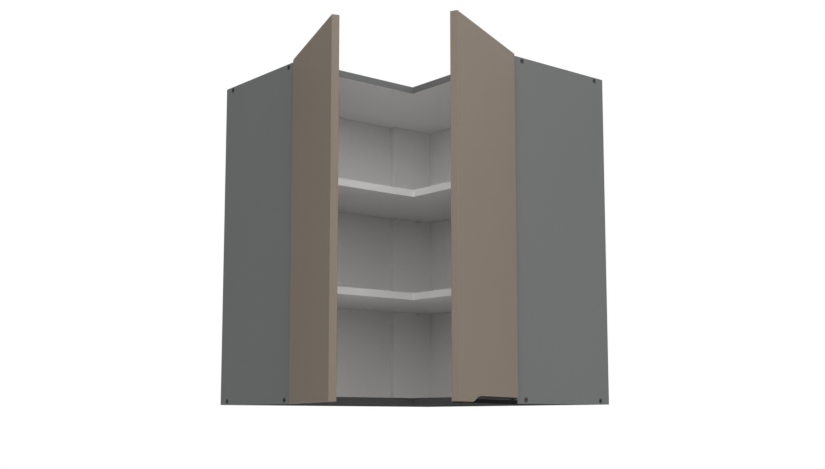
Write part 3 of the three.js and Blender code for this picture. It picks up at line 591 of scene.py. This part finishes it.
def small_screw_rings(radius):
    """A domed head with a cross recess, and a short shank."""
    rings = [
        (-0.25, 0.12, cross_outline), (-0.25, 0.5, cross_outline), (-1.2, 0.62, cross_outline),
        (-1.3, 0.66, round_outline), (-0.95, 0.9, round_outline), (-0.35, 1.0, round_outline),
        (0.0, 0.98, round_outline), (0.0, 0.6, round_outline), (1.8, 0.6, round_outline),
    ]
    return [(depth * MM, share * radius, outline) for depth, share, outline in rings]


def thread_rings(start, end, radius):
    """A thread as rings whose radius rises and falls along and round the shank."""
    step = SCREW_THREAD_PITCH / SCREW_THREAD_STEPS
    count = int((end - start) / step)

    def ring(depth):
        def outline(angle):
            turn = (depth / SCREW_THREAD_PITCH - angle / (2 * math.pi)) % 1
            return 1 - SCREW_THREAD_DEPTH / radius * min(1, 2.5 * abs(turn - 0.5))
        return depth, radius, outline

    return [ring(start + step * i) for i in range(count)] + [(end, radius / 3, round_outline)]


def ringed_mesh(name, rings, places, axis):
    """Closed bodies of rings of points round an axis, one body at each place."""
    sides = SCREW_SIDES
    turn = axis.to_track_quat("Z", "Y")
    points = []
    faces = []
    for place in places:
        first = len(points)
        for depth, radius, outline in rings:
            for i in range(sides):
                angle = 2 * math.pi * i / sides
                away = radius * outline(angle)
                local = Vector((away * math.cos(angle), away * math.sin(angle), depth))
                points.append(place + turn @ local)
        for row in range(len(rings) - 1):
            for i in range(sides):
                a, b = first + row * sides + i, first + row * sides + (i + 1) % sides
                faces.append((a, b, b + sides, a + sides))
        faces.append(tuple(first + i for i in reversed(range(sides))))
        last = first + (len(rings) - 1) * sides
        faces.append(tuple(last + i for i in range(sides)))
    mesh = bpy.data.meshes.new(name)
    mesh.from_pydata(points, [], faces)
    piece = bpy.data.objects.new(name, mesh)
    bpy.context.scene.collection.objects.link(piece)
    return piece


def finish_screws(piece, finish, body):
    """Finish, smooth shading with sharp creases, and the body that the screws ride on."""
    piece.data.materials.append(FINISHES[finish])
    for face in piece.data.polygons:
        face.use_smooth = True
    split = piece.modifiers.new("creases", "EDGE_SPLIT")
    split.split_angle = math.radians(SCREW_CREASE)
    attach(piece, body)


def add_small_screws(name, radius, places, axis, body):
    """Nickel-plated screws at some places, with their shanks along an axis."""
    piece = ringed_mesh(name, small_screw_rings(radius), places, axis)
    finish_screws(piece, "nickel", body)


def add_connecting_screws():
    """Each connecting screw of the frame again, with its socket and its thread."""
    for name in sorted(nodes):
        if not name.endswith("_screw"):
            continue
        low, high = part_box(name)
        middle = (low + high) / 2
        if name.startswith("right"):
            place, axis, length = Vector((high.x, middle.y, middle.z)), -X, high.x - low.x
        else:
            place, axis, length = Vector((middle.x, low.y, middle.z)), Y, high.y - low.y
        rings = connecting_screw_rings()
        neck_end, _, _ = rings[-1]
        rings += thread_rings(neck_end + SCREW_THREAD_START, length, SCREW_SHANK_RADIUS)
        piece = ringed_mesh(f"{name}_turned", rings, [place], axis)
        finish_screws(piece, "dark_steel", "carcass")
        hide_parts(name)


def add_hanger_screws():
    """The two screws that set each hanger's hook, on the front of its housing."""
    for side, (inward, front) in ENDS.items():
        housing = f"{side}_hanger_housing"
        low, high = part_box(housing)
        level = (low.z + high.z) / 2
        across = inward * (sum(reach(housing, inward)) / 2)
        face = front * (reach(housing, front)[1] - HANGER_SCREW_SINK)
        places = [across + face + Z * (level + rise * HANGER_SCREW_RISE) for rise in (-1, 1)]
        add_small_screws(f"{side}_hanger_screws", HANGER_SCREW_RADIUS, places, -front, "carcass")


def add_hinge_screws():
    """Screws through the mounting plates, on the arms and through the wings of the cups."""
    for side, (inward, front) in ENDS.items():
        panel_face = reach(f"{side}_end_panel", inward)[1]
        carcass_front = reach(f"{side}_end_panel", front)[1]
        for height in ("upper", "lower"):
            hinge = f"{side}_{height}_hinge"
            low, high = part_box(f"{hinge}_mounting_plate")
            level = (low.z + high.z) / 2
            wing = inward * (panel_face + PLATE_WING + PLATE_SEAT)
            row = front * (carcass_front - PLATE_SCREW_SETBACK)
            places = [wing + row + Z * (level + rise * PLATE_SCREW_RISE) for rise in (-1, 1)]
            add_small_screws(f"{hinge}_plate_screws", PLATE_SCREW_RADIUS, places, -inward, "carcass")

            arm_face = reach(f"{hinge}_arm", inward)[1]
            places = [inward * arm_face + front * (carcass_front - setback) + Z * level
                      for setback in ARM_SCREW_SETBACKS]
            add_small_screws(f"{hinge}_arm_screws", ARM_SCREW_RADIUS, places, -inward, "carcass")

            along, out = DOOR_AXES[side]["along"], DOOR_AXES[side]["out"]
            centre = along * (reach(f"{side}_door", along)[0] + CUP_CENTRE_EDGE)
            wing = out * reach(f"{hinge}_cup", out)[0]
            places = [centre + wing + Z * (level + rise * CUP_SCREW_RISE) for rise in (-1, 1)]
            add_small_screws(f"{hinge}_cup_screws", CUP_SCREW_RADIUS, places, out, f"{side}_door")


# ---------------------------------------------------------------- camera, light and floor


def make_camera():
    data = bpy.data.cameras.new("camera")
    data.sensor_width = CAMERA_SENSOR
    data.lens = CAMERA_LENS
    data.shift_y = CAMERA_SHIFT
    camera = bpy.data.objects.new("camera", data)
    camera.location = CAMERA_PLACE
    camera.rotation_euler = (math.radians(90 + CAMERA_PITCH), 0, math.radians(CAMERA_HEADING))
    bpy.context.scene.collection.objects.link(camera)
    bpy.context.scene.camera = camera


def make_world():
    """An even studio, a little brighter on one side, and pure white behind the cabinet."""
    world = bpy.data.worlds.new("studio")
    world.use_nodes = True
    tree = world.node_tree
    tree.nodes.clear()
    place = tree.nodes.new("ShaderNodeTexCoord")
    lean = tree.nodes.new("ShaderNodeVectorMath")
    lean.operation = "DOT_PRODUCT"
    lean.inputs[1].default_value = WORLD_LEAN
    brightness = tree.nodes.new("ShaderNodeMath")
    brightness.inputs[1].default_value = WORLD_EVEN
    glow = tree.nodes.new("ShaderNodeBackground")
    white = tree.nodes.new("ShaderNodeBackground")
    path = tree.nodes.new("ShaderNodeLightPath")
    both = tree.nodes.new("ShaderNodeMixShader")
    out = tree.nodes.new("ShaderNodeOutputWorld")
    tree.links.new(place.outputs["Generated"], lean.inputs[0])
    tree.links.new(lean.outputs["Value"], brightness.inputs[0])
    tree.links.new(brightness.outputs[0], glow.inputs["Strength"])
    tree.links.new(path.outputs["Is Camera Ray"], both.inputs["Fac"])
    tree.links.new(glow.outputs[0], both.inputs[1])
    tree.links.new(white.outputs[0], both.inputs[2])
    tree.links.new(both.outputs[0], out.inputs["Surface"])
    glow.inputs["Color"].default_value = (1, 1, 1, 1)
    white.inputs["Color"].default_value = (1, 1, 1, 1)
    bpy.context.scene.world = world


def make_softbox(name, azimuth, elevation, power):
    """A square soft light aimed at the middle of the cabinet."""
    data = bpy.data.lights.new(name, "AREA")
    data.size = SOFTBOX_SIZE
    data.energy = power
    lamp = bpy.data.objects.new(name, data)
    level = turned(X, azimuth)
    rise = math.radians(elevation)
    towards = level * math.cos(rise) + Z * math.sin(rise)
    lamp.location = MIDDLE + towards * SOFTBOX_DISTANCE
    lamp.rotation_mode = "QUATERNION"
    lamp.rotation_quaternion = towards.to_track_quat("Z", "Y")
    lamp.visible_camera = False
    bpy.context.scene.collection.objects.link(lamp)


def make_floor():
    """A plain pale disc, well below the cabinet."""
    mesh = bpy.data.meshes.new("floor")
    middle = -Z * FLOOR_DROP
    rim = [middle + turned(X, 360 * i / FLOOR_STEPS) * FLOOR_RADIUS for i in range(FLOOR_STEPS)]
    mesh.from_pydata(rim, [], [range(FLOOR_STEPS)])
    shader = Shader("pale_floor")
    shader.colour(shader.shaded(FLOOR, shader.ranged(shader.noise(400, 2), 0.99, 1.01)))
    shader.roughness(0.9)
    shader.set("Specular IOR Level", 0.1)
    shader.set("Emission Color", (1, 1, 1, 1))
    seen = shader.add("ShaderNodeLightPath").outputs["Is Camera Ray"]
    shader.link(shader.ranged(seen, 0, FLOOR_GLOW, 0, 1), shader.surface.inputs["Emission Strength"])
    mesh.materials.append(shader.material)
    floor = bpy.data.objects.new("floor", mesh)
    bpy.context.scene.collection.objects.link(floor)


dress_carcass()
dress_doors()
dress_grip()
dress_fittings()
add_connecting_screws()
add_hinge_screws()
add_hanger_screws()
make_camera()
make_world()
for softbox, (azimuth, elevation, power) in SOFTBOXES.items():
    make_softbox(softbox, azimuth, elevation, power)
make_floor()
bpy.context.scene.view_settings.view_transform = "Standard"
